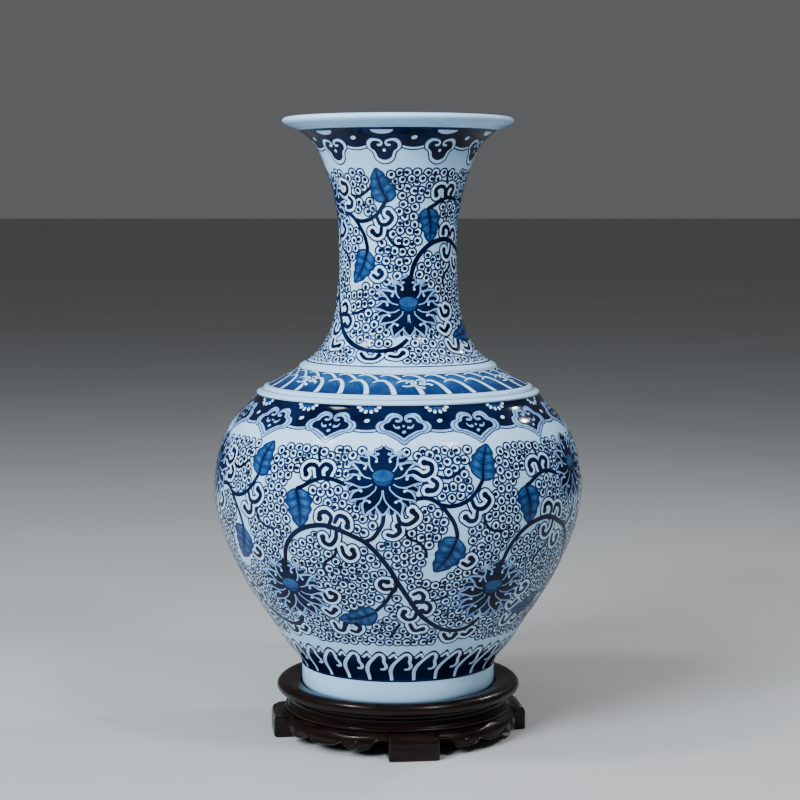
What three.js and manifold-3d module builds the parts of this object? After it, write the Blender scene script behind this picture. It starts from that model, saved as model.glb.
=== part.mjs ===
// A tall blue-and-white porcelain vase standing on its carved dark wood stand.
// Millimetres, +Z up. The origin is the centre of the stand's feet, on the surface it stands on.
//
// The vase is thrown in three sections that are luted together and fired as one body.
// The stand is a turned seat ring with a loose seat panel, a waist ring, four carved aprons
// and four block legs, each leg pegged to the waist ring with a dowel.

import * as THREE from 'three';
import { mergeVertices } from 'three/addons/utils/BufferGeometryUtils.js';
import Module from 'manifold-3d';

const wasm = await Module();
wasm.setup();

// ---------------------------------------------------------------- driving dimensions

const GAP = 0.3;                 // clearance left between pieces that touch
const TURNS = 40;                // facets around every turned piece
const LEGS = 4;
const FIRST_LEG = 7.2;           // degrees from the front (-Y) towards +X

const FOOT_Z = 35.6;             // underside of the vase's foot ring, in the stand's seat
const FOOT_LINE_Z = 52.4;        // top of the plain foot
const BELLY_Z = 182;             // widest level, and the lower lute line
const COLLAR_Z = 277;            // raised ring at the neck's base, and the upper lute line
const SHOULDER_RING_Z = 259;     // pair of raised rings at the shoulder's edge
const RIM_Z = 458;               // top of the lip

const WALL = 5.5;                // thickness of the vase's wall
const FOOT_RADIUS = 72.4;
const FOOT_RING_INNER = 62;
const BASE_Z = 44;               // recessed underside of the vase
const FLOOR_Z = 57;              // inside floor of the vase
const RIM_RADIUS = 85.3;

const SEAT_Z = FOOT_Z - GAP;     // floor of the recess that the foot stands in
const STAND_TOP = 40.2;
const STAND_RADIUS = 91.2;
const RECESS_RADIUS = FOOT_RADIUS + 1.2;
const PANEL_RADIUS = 60;
const PANEL_THICK = 5.5;
const RING_BASE = 26.3;          // underside of the seat ring
const WAIST_BASE = 18.5;         // underside of the waist ring
const WAIST_INNER = 72;
const APRON_OUTER = 90;
const APRON_THICK = 11;
const LEG_WIDTH = 36.8;
const LEG_OUTER = 95;
const LEG_INNER = 68;
const DOWEL_RADIUS = 3;
const DOWEL_CENTRE = 77;         // distance of each dowel from the vase's axis
const DOWEL_BOTTOM = 9;
const DOWEL_TOP = 24;

const porcelain = () => new THREE.MeshStandardMaterial({ color: 0xdfe7ee, roughness: 0.12 });
const lacquer = () => new THREE.MeshStandardMaterial({ color: 0x1c0f0c, roughness: 0.28 });

const group = new THREE.Group();

function add(name, geometry, material) {
  const mesh = new THREE.Mesh(geometry, material);
  mesh.name = name;
  group.add(mesh);
}

// ---------------------------------------------------------------- shared helpers

const at = (radius, height) => new THREE.Vector2(radius, height);

// Turn a closed (radius, height) outline about the Z axis.
function turned(outline) {
  const points = outline[0].x === 0 ? outline : [...outline, outline[0]];
  return new THREE.LatheGeometry(points, TURNS).rotateX(Math.PI / 2);
}

function solid(geometry) {
  const bare = geometry.clone();
  bare.deleteAttribute('normal');
  bare.deleteAttribute('uv');
  const merged = mergeVertices(bare, 1e-4);
  const vertProperties = new Float32Array(merged.attributes.position.array);
  const triVerts = new Uint32Array(merged.index.array);
  return new wasm.Manifold(new wasm.Mesh({ numProp: 3, vertProperties, triVerts }));
}

function geometryOf(manifold) {
  const mesh = manifold.getMesh();
  const geometry = new THREE.BufferGeometry();
  geometry.setAttribute('position', new THREE.BufferAttribute(mesh.vertProperties, 3));
  geometry.setIndex(new THREE.BufferAttribute(mesh.triVerts, 1));
  geometry.computeVertexNormals();
  return geometry;
}

const cut = (geometry, ...tools) =>
  geometryOf(tools.reduce((rest, tool) => rest.subtract(solid(tool)), solid(geometry)));

// Turn a piece that is modelled at the front of the stand round to its own place.
const swing = (geometry, degrees) => geometry.clone().rotateZ(THREE.MathUtils.degToRad(degrees));

// ---------------------------------------------------------------- vase

// The outer line of the vase between the plain foot and the lip's underside.
const BODY_LINE = new THREE.SplineCurve([
  at(FOOT_RADIUS, FOOT_LINE_Z), at(75.6, 59), at(86, 72), at(97.6, 90), at(109.7, 108.5),
  at(119.8, 126.5), at(128.5, 146), at(134.3, 165), at(136.9, BELLY_Z), at(136, 198),
  at(132.8, 214), at(127.2, 228), at(118.5, 240), at(108, 250.5), at(101.5, 258.5),
  at(88, 266), at(78, 271.5), at(70.5, COLLAR_Z), at(64.5, 282), at(58, 288.5),
  at(50.2, 302), at(46, 320), at(44, 342), at(43.5, 362), at(44.6, 386),
  at(49, 408), at(55.8, 427), at(63.2, 440.4), at(73, 448.8),
]);
const LINE_POINTS = BODY_LINE.getPoints(560);

// Raised rings: how far each stands out, its level and its half width.
const RINGS = [
  { out: 1.4, level: COLLAR_Z, half: 2.2 },
  { out: 1.1, level: SHOULDER_RING_Z + 1.9, half: 1.2 },
  { out: 1.1, level: SHOULDER_RING_Z - 1.9, half: 1.2 },
];

function lineAt(height) {
  const next = LINE_POINTS.findIndex((point) => point.y >= height);
  const upper = LINE_POINTS[Math.max(next, 1)];
  const lower = LINE_POINTS[Math.max(next, 1) - 1];
  const share = (height - lower.y) / (upper.y - lower.y);
  const slope = (upper.x - lower.x) / (upper.y - lower.y);
  return { radius: lower.x + share * (upper.x - lower.x), slope };
}

function outerRadius(height) {
  const relief = RINGS.reduce((sum, ring) => {
    const off = Math.abs(height - ring.level) / ring.half;
    return sum + (off < 1 ? ring.out * Math.cos(off * Math.PI / 2) : 0);
  }, 0);
  return lineAt(height).radius + relief;
}

function innerRadius(height) {
  const { radius, slope } = lineAt(height);
  return radius - WALL * Math.hypot(1, slope);
}

// Heights from low to high, evenly spread, with three more across each raised ring.
function levels(low, high, count) {
  const even = Array.from({ length: count + 1 }, (_, i) => low + (high - low) * i / count);
  const extra = RINGS.flatMap((ring) => [ring.level - ring.half, ring.level, ring.level + ring.half]);
  const inside = extra.filter((z) => z > low + 0.5 && z < high - 0.5);
  const kept = even.filter((z) => inside.every((other) => Math.abs(z - other) > 0.6));
  return [...kept, ...inside].sort((a, b) => a - b);
}

const outerLine = (low, high, count) => levels(low, high, count).map((z) => at(outerRadius(z), z));

function innerLine(high, low, count) {
  const step = (high - low) / count;
  return Array.from({ length: count + 1 }, (_, i) => at(innerRadius(high - step * i), high - step * i));
}

function lowerSection() {
  const top = BELLY_Z - GAP / 2;
  return turned([
    at(0, BASE_Z),
    at(FOOT_RING_INNER - 3, BASE_Z), at(FOOT_RING_INNER, BASE_Z - 3),
    at(FOOT_RING_INNER + 1, FOOT_Z + 0.8), at(FOOT_RING_INNER + 2.2, FOOT_Z),
    at(FOOT_RADIUS - 2.6, FOOT_Z), at(FOOT_RADIUS - 0.6, FOOT_Z + 2.2),
    at(FOOT_RADIUS, FOOT_Z + 5), ...outerLine(FOOT_LINE_Z, top, 11),
    ...innerLine(top, FLOOR_Z + 11, 9), at(62, FLOOR_Z + 2), at(46, FLOOR_Z), at(0, FLOOR_Z),
  ]);
}

function upperSection() {
  const low = BELLY_Z + GAP / 2;
  const top = COLLAR_Z - GAP / 2;
  return turned([...outerLine(low, top, 11), ...innerLine(top, low, 10)]);
}

function neckSection() {
  const low = COLLAR_Z + GAP / 2;
  const neckTop = 448.8;
  return turned([
    ...outerLine(low, neckTop, 15),
    at(79.5, 451.2), at(83.8, 453.2), at(RIM_RADIUS, 455.4), at(84, RIM_Z - 0.8), at(81.2, RIM_Z),
    at(77.5, RIM_Z - 0.8), at(71.5, 453.2), ...innerLine(neckTop - 2, low, 12),
  ]);
}

// ---------------------------------------------------------------- stand

// A roll moulding round the recess, with a step above the waist.
function seatRing() {
  const ledge = SEAT_Z - PANEL_THICK - GAP;
  const hole = PANEL_RADIUS + GAP;
  return turned([
    at(PANEL_RADIUS - 4, RING_BASE), at(81, RING_BASE), at(80.5, RING_BASE + 2),
    at(81.5, RING_BASE + 3.9), at(STAND_RADIUS - 4, RING_BASE + 4.4),
    at(STAND_RADIUS - 1.2, RING_BASE + 5.8), at(STAND_RADIUS, RING_BASE + 8.4),
    at(STAND_RADIUS - 0.8, STAND_TOP - 3), at(STAND_RADIUS - 3.2, STAND_TOP - 0.9),
    at(STAND_RADIUS - 7.2, STAND_TOP),
    at(RECESS_RADIUS + 1.6, STAND_TOP - 1.8), at(RECESS_RADIUS, STAND_TOP - 2.8),
    at(RECESS_RADIUS, SEAT_Z), at(hole, SEAT_Z), at(hole, ledge), at(PANEL_RADIUS - 4, ledge),
  ]);
}

function seatPanel() {
  return turned([
    at(0, SEAT_Z - PANEL_THICK), at(PANEL_RADIUS, SEAT_Z - PANEL_THICK),
    at(PANEL_RADIUS, SEAT_Z - 0.6), at(PANEL_RADIUS - 0.8, SEAT_Z), at(0, SEAT_Z),
  ]);
}

// A flared neck above a fine bead.
function waistRing() {
  const top = RING_BASE - GAP;
  const bead = { radius: 84.9, level: WAIST_BASE + 1.6, half: 1.6 };
  const turns = [-0.7, -0.25, 0.25, 0.7].map((share) => share * Math.PI / 2);
  return turned([
    at(WAIST_INNER, WAIST_BASE), at(bead.radius - bead.half, WAIST_BASE),
    ...turns.map((a) => at(bead.radius - bead.half + bead.half * Math.cos(a),
      bead.level + bead.half * Math.sin(a))),
    at(83.3, bead.level + bead.half), at(81.7, top - 1.6), at(81, top), at(WAIST_INNER, top),
  ]);
}

function dowel(radius, low, high) {
  return new THREE.CylinderGeometry(radius, radius, high - low, 16)
    .rotateX(Math.PI / 2)
    .translate(0, -DOWEL_CENTRE, (low + high) / 2);
}

// A block leg, drawn in side view and rounded over at its outer shoulder.
function legBlock() {
  const top = WAIST_BASE - GAP;
  const shape = new THREE.Shape();
  shape.moveTo(LEG_INNER, 0);
  shape.lineTo(LEG_OUTER - 1, 0);
  shape.lineTo(LEG_OUTER, 1);
  shape.lineTo(LEG_OUTER, top - 6.5);
  shape.quadraticCurveTo(LEG_OUTER, top - 1.5, LEG_OUTER - 5, top);
  shape.lineTo(LEG_INNER, top);
  shape.closePath();
  const depth = LEG_WIDTH;
  return new THREE.ExtrudeGeometry(shape, { depth, bevelEnabled: false, curveSegments: 5 })
    .translate(0, 0, -depth / 2)
    .rotateX(Math.PI / 2)
    .rotateZ(-Math.PI / 2);
}

// The room that a leg takes between two aprons, with its clearance.
function legRoom() {
  return new THREE.BoxGeometry(LEG_WIDTH + 2 * GAP, LEG_OUTER, 2 * WAIST_BASE)
    .translate(0, -LEG_OUTER / 2 - 20, 0);
}

// The open space under an apron, between two legs, seen from the front: the apron's lower
// edge hangs in a middle tongue with a scroll on each side.
function apronOpening() {
  const half = APRON_OUTER * Math.sin(Math.PI / LEGS);
  const shape = new THREE.Shape();
  shape.moveTo(-half, -2);
  shape.lineTo(-half, 13.2);
  shape.lineTo(-0.66 * half, 13.2);
  shape.quadraticCurveTo(-0.62 * half, 5.2, -0.46 * half, 5.2);
  shape.quadraticCurveTo(-0.3 * half, 5.2, -0.26 * half, 9.6);
  shape.quadraticCurveTo(-0.16 * half, 6.4, 0, 6.2);
  shape.quadraticCurveTo(0.16 * half, 6.4, 0.26 * half, 9.6);
  shape.quadraticCurveTo(0.3 * half, 5.2, 0.46 * half, 5.2);
  shape.quadraticCurveTo(0.62 * half, 5.2, 0.66 * half, 13.2);
  shape.lineTo(half, 13.2);
  shape.lineTo(half, -2);
  shape.closePath();
  const depth = APRON_OUTER;
  return new THREE.ExtrudeGeometry(shape, { depth, bevelEnabled: false, curveSegments: 4 })
    .rotateX(Math.PI / 2)
    .translate(0, -20, 0);
}

// The aprons before they are sawn apart: a ring that swells out below the waist's bead.
function apronRing() {
  const top = WAIST_BASE - GAP;
  const inner = APRON_OUTER - APRON_THICK;
  return turned([
    at(inner, 4.5), at(APRON_OUTER - 1, 4.5), at(APRON_OUTER, 8), at(APRON_OUTER - 0.3, 12.5),
    at(APRON_OUTER - 2.4, 15.8), at(APRON_OUTER - 5.8, top), at(inner, top),
  ]);
}

// One quarter of the round, between the middles of two legs.
function quarter() {
  const reach = 2 * APRON_OUTER;
  const middle = Math.PI / LEGS;
  const shape = new THREE.Shape();
  shape.moveTo(0, 0);
  shape.lineTo(-reach * Math.sin(middle), -reach * Math.cos(middle));
  shape.lineTo(reach * Math.sin(middle), -reach * Math.cos(middle));
  shape.closePath();
  return new THREE.ExtrudeGeometry(shape, { depth: WAIST_BASE, bevelEnabled: false });
}

// An apron between two legs, modelled with its middle at the front.
function apronPiece() {
  const piece = solid(apronRing()).intersect(solid(quarter()));
  const rooms = [-1, 1].map((side) => swing(legRoom(), side * 180 / LEGS));
  return cut(geometryOf(piece), apronOpening(), ...rooms);
}

// ---------------------------------------------------------------- assembly

add('vase_lower_section', lowerSection(), porcelain());
add('vase_upper_section', upperSection(), porcelain());
add('vase_neck_section', neckSection(), porcelain());

const pitch = 360 / LEGS;
const turnsOfLegs = Array.from({ length: LEGS }, (_, i) => FIRST_LEG + pitch * i);
const pegHole = dowel(DOWEL_RADIUS + GAP, DOWEL_BOTTOM - GAP, DOWEL_TOP + GAP);
const leg = cut(legBlock(), pegHole);
const apron = apronPiece();

add('stand_seat_ring', seatRing(), lacquer());
add('stand_seat_panel', seatPanel(), lacquer());
add('stand_waist_ring', cut(waistRing(), ...turnsOfLegs.map((turn) => swing(pegHole, turn))), lacquer());
turnsOfLegs.forEach((turn, i) => {
  add(`stand_leg_${i + 1}`, swing(leg, turn), lacquer());
  add(`stand_apron_${i + 1}`, swing(apron, turn + pitch / 2), lacquer());
  add(`stand_dowel_${i + 1}`, swing(dowel(DOWEL_RADIUS, DOWEL_BOTTOM, DOWEL_TOP), turn), lacquer());
});

export default group;
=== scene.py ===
"""A tall blue-and-white porcelain vase on its carved dark wood stand.

The vase is one glazed, lathe-turned skin. The cobalt painting is real geometry: thin skins of
paint that lie a few hundredths of a millimetre above each other on the glaze. Each is a stroke,
a filled shape or a band in the vase's own surface coordinates: theta is the angle round the
axis, s the distance along the outline. Lengths are millimetres until a mesh is made.
"""

import math
import random

import bpy
import numpy as np
from mathutils import Euler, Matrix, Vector


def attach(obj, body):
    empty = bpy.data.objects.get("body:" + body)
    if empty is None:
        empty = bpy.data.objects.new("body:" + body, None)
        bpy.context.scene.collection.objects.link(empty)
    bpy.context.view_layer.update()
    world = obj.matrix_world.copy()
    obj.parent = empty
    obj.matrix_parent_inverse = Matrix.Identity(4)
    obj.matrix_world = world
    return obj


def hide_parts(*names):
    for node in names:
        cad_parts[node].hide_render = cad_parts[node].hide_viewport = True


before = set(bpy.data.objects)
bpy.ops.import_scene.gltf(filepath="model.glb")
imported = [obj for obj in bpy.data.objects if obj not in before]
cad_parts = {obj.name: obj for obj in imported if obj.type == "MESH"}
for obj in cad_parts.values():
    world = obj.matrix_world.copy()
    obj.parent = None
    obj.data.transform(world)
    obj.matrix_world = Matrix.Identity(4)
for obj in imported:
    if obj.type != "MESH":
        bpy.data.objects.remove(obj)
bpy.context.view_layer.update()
scene = bpy.context.scene

MM = 0.001
TAU = 2 * math.pi
rng = random.Random(7)

# ---- driving dimensions

FOOT_LINE_Z = 52.4        # top of the plain foot, where the painting starts
COLLAR_Z = 277.0          # raised ring at the neck's base
SHOULDER_RING_Z = 259.0   # middle of the pair of raised rings at the shoulder's edge
WALL = 5.5
VASE_FACES = 200          # faces round the vase
STAND_FACES = 160         # faces round the stand's turned rings

# The vase's outline from the plain foot to the lip's underside: (radius, height).
BODY_LINE = [
    (72.4, FOOT_LINE_Z), (75.6, 59), (86, 72), (97.6, 90), (109.7, 108.5), (119.8, 126.5),
    (128.5, 146), (134.3, 165), (136.9, 182), (136, 198), (132.8, 214), (127.2, 228),
    (118.5, 240), (108, 250.5), (101.5, 258.5), (88, 266), (78, 271.5), (70.5, COLLAR_Z),
    (64.5, 282), (58, 288.5), (50.2, 302), (46, 320), (44, 342), (43.5, 362), (44.6, 386),
    (49, 408), (55.8, 427), (63.2, 440.4), (73, 448.8),
]
# Raised rings: (stands out, height, half width).
RINGS = [(1.9, COLLAR_Z, 2.9), (1.7, SHOULDER_RING_Z + 2.1, 1.9), (1.7, SHOULDER_RING_Z - 2.1, 1.9)]

# Heights of the skins of paint above the glaze, in millimetres.
RING, WASH, LINE, HALO = 0.04, 0.08, 0.16, 0.185
LEAF, FILL, PALE, TOP = 0.21, 0.235, 0.265, 0.295


# ---- curves

def joined(*rows):
    """Places from their coordinates."""
    return np.stack(rows, -1)


def spline(points, per=12, closed=False):
    """A smooth curve through the points, per places to each stretch."""
    p = np.asarray(points, float)
    if closed:
        p = np.vstack([p[-1], p, p[0], p[1]])
    else:
        p = np.vstack([2 * p[0] - p[1], p, 2 * p[-1] - p[-2]])
    t = (np.arange(per) / per)[:, None]
    spans = []
    for a, b, c, d in zip(p[:-3], p[1:-2], p[2:-1], p[3:]):
        spans.append(0.5 * (2 * b + (c - a) * t + (2 * a - 5 * b + 4 * c - d) * t ** 2
                            + (3 * b - a - 3 * c + d) * t ** 3))
    spans.append(p[1][None] if closed else p[-2][None])
    return np.vstack(spans)


def whole(half):
    """A closed outline from its right half, listed from top middle to bottom middle."""
    return half + [(-x, y) for x, y in half[::-1] if x > 0]


def even(curve, step, measured=None, least=3):
    """The same curve with places a step apart, as measured along it or along another."""
    measured = curve if measured is None else measured
    run = np.r_[0, np.cumsum(np.hypot(*np.diff(measured, axis=0).T))]
    count = max(least, int(round(run[-1] / step)) + 1)
    where = np.linspace(0, run[-1], count)
    return joined(*[np.interp(where, run, curve[:, k]) for k in (0, 1)])


# ---- the vase's surface

def outline():
    line = spline(BODY_LINE, 60)
    radius, height = line.T.copy()
    for out, level, half in RINGS:
        off = np.abs(height - level) / half
        radius += np.where(off < 1, out * np.cos(np.minimum(off, 1) * math.pi / 2) ** 2, 0)
    return radius, height


LINE_R, LINE_Z = outline()
LINE_S = np.r_[0, np.cumsum(np.hypot(np.diff(LINE_R), np.diff(LINE_Z)))]
LINE_NR = np.gradient(LINE_Z, LINE_S)
LINE_NZ = -np.gradient(LINE_R, LINE_S)


def radius_at(s):
    return np.interp(s, LINE_S, LINE_R)


def run_to(height):
    """Distance along the outline up to a height."""
    return float(np.interp(height, LINE_Z, LINE_S))


def on_vase(theta, s, lift):
    """Places and normals on the vase; theta goes from the front (-Y) towards +X."""
    r, z = radius_at(s), np.interp(s, LINE_S, LINE_Z)
    nr, nz = np.interp(s, LINE_S, LINE_NR), np.interp(s, LINE_S, LINE_NZ)
    length = np.hypot(nr, nz)
    nr, nz = nr / length, nz / length
    r = r + nr * lift
    z = z + nz * lift
    sin, cos = np.sin(theta), np.cos(theta)
    places = joined(r * sin, -r * cos, z)
    normals = joined(nr * sin, -nr * cos, nz)
    return places, normals


# ---- mesh making

def make_mesh(name, places, quads, material, normals=None, uvs=None, tones=None):
    """A mesh object from arrays in millimetres; the faces are quads."""
    me = bpy.data.meshes.new(name)
    me.vertices.add(len(places))
    me.vertices.foreach_set("co", (np.asarray(places, np.float32) * MM).ravel())
    me.loops.add(quads.size)
    me.loops.foreach_set("vertex_index", quads.ravel().astype(np.int32))
    me.polygons.add(len(quads))
    me.polygons.foreach_set("loop_start", np.arange(0, quads.size, 4, dtype=np.int32))
    me.update(calc_edges=True)
    me.polygons.foreach_set("use_smooth", np.ones(len(quads), bool))
    if tones is not None:
        tone = me.attributes.new("tone", "FLOAT", "POINT")
        tone.data.foreach_set("value", np.asarray(tones, np.float32))
    if uvs is not None:
        layer = me.uv_layers.new(name="OFBake")
        layer.data.foreach_set("uv", np.asarray(uvs, np.float32)[quads.ravel()].ravel())
    if normals is not None:
        me.normals_split_custom_set_from_vertices(np.asarray(normals, np.float32))
    me.materials.append(material)
    ob = bpy.data.objects.new(name, me)
    scene.collection.objects.link(ob)
    return ob


def grid_quads(rows, columns, start=0, wrap=False):
    """Faces of a grid of places; wrap joins the last column to the first."""
    i = np.arange(rows - 1)[:, None] * columns
    j = np.arange(columns if wrap else columns - 1)[None]
    k = (j + 1) % columns
    return (joined(i + j, i + k, i + columns + k, i + columns + j) + start).reshape(-1, 4)


def turned(name, profile, segments, material):
    """A closed or axis-to-axis (radius, height) outline turned about the axis."""
    profile = np.asarray(profile, float)
    theta = np.arange(segments) * TAU / segments
    r, z = profile[:, :1], profile[:, 1:]
    places = joined(r * np.sin(theta), -r * np.cos(theta), z + 0 * theta)
    quads = grid_quads(len(profile), segments, wrap=True)
    if profile[0, 0] > 0.01:
        last = (len(profile) - 1) * segments
        j = np.arange(segments)
        k = (j + 1) % segments
        quads = np.vstack([quads, joined(last + j, last + k, k, j)])
    return make_mesh(name, places.reshape(-1, 3), quads, material)


# ---- paint

class Skin:
    """All the paint of one colour in one zone of the vase, gathered as grids of places."""

    def __init__(self):
        self.grids = []

    def add(self, theta, s, lift, tone=0.5):
        theta, s = np.broadcast_arrays(np.asarray(theta, float), np.asarray(s, float))
        across = (theta[:-1, 1:] - theta[:-1, :-1]) * (s[1:, :-1] - s[:-1, :-1])
        along = (theta[1:, :-1] - theta[:-1, :-1]) * (s[:-1, 1:] - s[:-1, :-1])
        if (across - along).sum() < 0:
            theta, s = theta[:, ::-1], s[:, ::-1]
            tone = tone[:, ::-1] if np.ndim(tone) else tone
        self.grids.append((theta, s, lift, np.broadcast_to(tone, theta.shape)))

    def build(self, name, material):
        places, normals, uvs, tones, quads = [], [], [], [], []
        start = 0
        for theta, s, lift, tone in self.grids:
            p, n = on_vase(theta, s, lift)
            places.append(p.reshape(-1, 3))
            normals.append(n.reshape(-1, 3))
            uvs.append(joined((theta / TAU) % 1.0, s / LINE_S[-1]).reshape(-1, 2))
            tones.append(tone.ravel())
            quads.append(grid_quads(*theta.shape, start))
            start += theta.size
        places, normals, uvs = np.vstack(places), np.vstack(normals), np.vstack(uvs)
        return make_mesh(name, places, np.vstack(quads), material, normals, uvs,
                         np.concatenate(tones))


SKINS = {}


def skin(zone, colour):
    return SKINS.setdefault((zone, colour), Skin())


def from_local(origin, points, spin=0.0):
    """Places (theta, s) of points given in millimetres round an origin, turned by spin."""
    p = np.asarray(points, float)
    u = p[..., 0] * math.cos(spin) - p[..., 1] * math.sin(spin)
    v = p[..., 0] * math.sin(spin) + p[..., 1] * math.cos(spin)
    s = origin[1] + v
    return joined(origin[0] + u / radius_at(s), s)


def drawn(origin, points, per=5, step=0.8):
    """A smooth curve through local points, as an even path on the vase."""
    return from_local(origin, even(spline(points, per), step))


def stroke(zone, colour, path, width, lift, ends=(1.0, 1.0), shift=0.0):
    """A brush stroke along a path of (theta, s); ends are its widths there, as shares."""
    theta, s = path.T
    r = radius_at(s)
    dx, dy = np.gradient(theta) * r, np.gradient(s)
    length = np.maximum(np.hypot(dx, dy), 1e-9)
    nx, ny = -dy / length, dx / length
    t = np.linspace(0, 1, len(path))
    if np.ndim(width) == 0:
        swell = np.minimum(1, np.minimum(ends[0] + 5 * t, ends[1] + 5 * (1 - t)))
        width = width * swell
    across = np.linspace(-0.5, 0.5, 3 if np.max(width) < 3.5 else 5)
    half = shift + width[:, None] * across
    skin(zone, colour).add(theta[:, None] + nx[:, None] * half / r[:, None],
                           s[:, None] + ny[:, None] * half, lift)


def blob(zone, colour, origin, curve, lift, tone=0.5, spin=0.0, centre=(0, 0)):
    """A shape filled from its centre out to a closed curve in local millimetres."""
    middle = np.asarray(centre, float)
    reach = np.hypot(*(curve - middle).T).max()
    share = np.linspace(0.02, 1, max(2, math.ceil(reach / 2) + 1))[:, None, None]
    places = from_local(origin, middle + (curve[None] - middle) * share, spin)
    skin(zone, colour).add(places[..., 0], places[..., 1], lift, tone)


def oval(rx, ry, count, start=0.0):
    a = np.linspace(start, TAU, count + 1)
    return joined(rx * np.cos(a), ry * np.sin(a))


def dot(zone, colour, origin, rx, ry, lift, spin=0.0, tone=0.5, count=12):
    blob(zone, colour, origin, oval(rx, ry, count), lift, tone, spin)


def loop(zone, colour, origin, curve, width, lift):
    """A stroke all along a closed local curve."""
    stroke(zone, colour, from_local(origin, curve), width, lift)


def girdle(zone, colour, low, high, lift, tone=0.5, rows=None, step=2.0):
    """A band right round the vase; low and high are distances or functions of theta."""
    middle = radius_at(low(0.0) if callable(low) else low)
    theta = np.linspace(-math.pi, math.pi, int(TAU * middle / step) + 1)
    bottom = low(theta) if callable(low) else np.full_like(theta, low)
    top = high(theta) if callable(high) else np.full_like(theta, high)
    rows = rows or max(2, int(np.max(top - bottom) / 2.5) + 1)
    t = np.linspace(0, 1, rows)[:, None]
    skin(zone, colour).add(theta[None] + 0 * t, bottom + (top - bottom) * t, lift, tone)


# ---- the scroll's parts

# What berries keep clear of in one repeat: (theta, s, clearance).
clear = []


def keep_clear(path, distance):
    clear.extend((theta, s, distance) for theta, s in path)


def even_on_vase(path, step):
    """Re-space a (theta, s) path evenly in millimetres."""
    return even(path, step, joined(path[:, 0] * radius_at(path[:, 1]), path[:, 1]), 4)


def vine(zone, path, width, clearance):
    path = even_on_vase(path, 1.6)
    stroke(zone, "navy", path, width, FILL, ends=(0.8, 0.8))
    keep_clear(path, clearance)


def hook(zone, path, width):
    """A comma stroke with a fat free end, in a white margin with a blue edge."""
    path = even_on_vase(path, 1.1)
    body = width * np.linspace(0.85, 1.1, len(path))
    stroke(zone, "line", path, body + 6.5, LINE)
    stroke(zone, "halo", path, body + 4.1, HALO)
    stroke(zone, "navy", path, body, FILL)
    for end, half in ((path[0], body[0] / 2), (path[-1], body[-1] * 0.62)):
        dot(zone, "line", end, half + 3.25, half + 3.25, LINE - 0.004)
        dot(zone, "halo", end, half + 2.05, half + 2.05, HALO + 0.004)
        dot(zone, "navy", end, half, half, FILL + 0.004)
    keep_clear(path, 6.2)


def leaf(zone, base, tip, width):
    """A lobed leaf from its stem to its tip, graded across and veined."""
    r = radius_at((base[1] + tip[1]) / 2)
    du, dv = (tip[0] - base[0]) * r, tip[1] - base[1]
    length, spin = math.hypot(du, dv), math.atan2(dv, du)
    rows, columns = 34, 9
    t = np.linspace(0.005, 1, rows)[:, None]
    across = np.linspace(-1, 1, columns)[None]
    full = np.minimum(1, (t / 0.22) ** 0.5) * (1 - t) ** 0.75 * (1 + 0.95 * t)
    lobes = np.abs(np.sin(math.pi * (4.2 * t + 0.1)))
    half = width / 2 * full * (0.92 + 0.2 * lobes)
    bend = 0.07 * length * np.sin(t * math.pi)

    def place(grow):
        along = t * (length + 1.5 * grow) - 0.5 * grow
        aside = (half + grow) * across + bend
        return from_local(base, joined(along + 0 * across, aside), spin)

    edge = place(0.6)
    skin(zone, "line").add(edge[..., 0], edge[..., 1], LEAF - 0.012)
    body = place(0.0)
    streak = np.abs(np.sin(math.pi * (4.2 * (t - 0.1 * np.abs(across)) + 0.1)))
    tone = (0.25 + 0.75 * streak) * np.sin(math.pi * np.abs(across)) ** 0.8 * (1 - 0.35 * t)
    tone = 0.06 + 0.78 * tone
    skin(zone, "wash").add(body[..., 0], body[..., 1], LEAF, np.clip(tone, 0, 1))
    rib = columns // 2
    stroke(zone, "navy", body[:-3, rib], np.linspace(1.8, 0.5, rows - 3), FILL)
    fading = np.array([0.7, 0.6, 0.45, 0.2])
    for start in range(3, rows - 9, 5):
        for side in (-1, 1):
            vein = np.array([body[start + k, rib + side * min(k, 3)] for k in range(4)])
            stroke(zone, "line", vein, fading, FILL - 0.01)
    keep_clear(body[::4, rib], width / 2 + 1.6)
    keep_clear(body[::3, 0], 4.0)
    keep_clear(body[::3, -1], 4.0)


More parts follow.
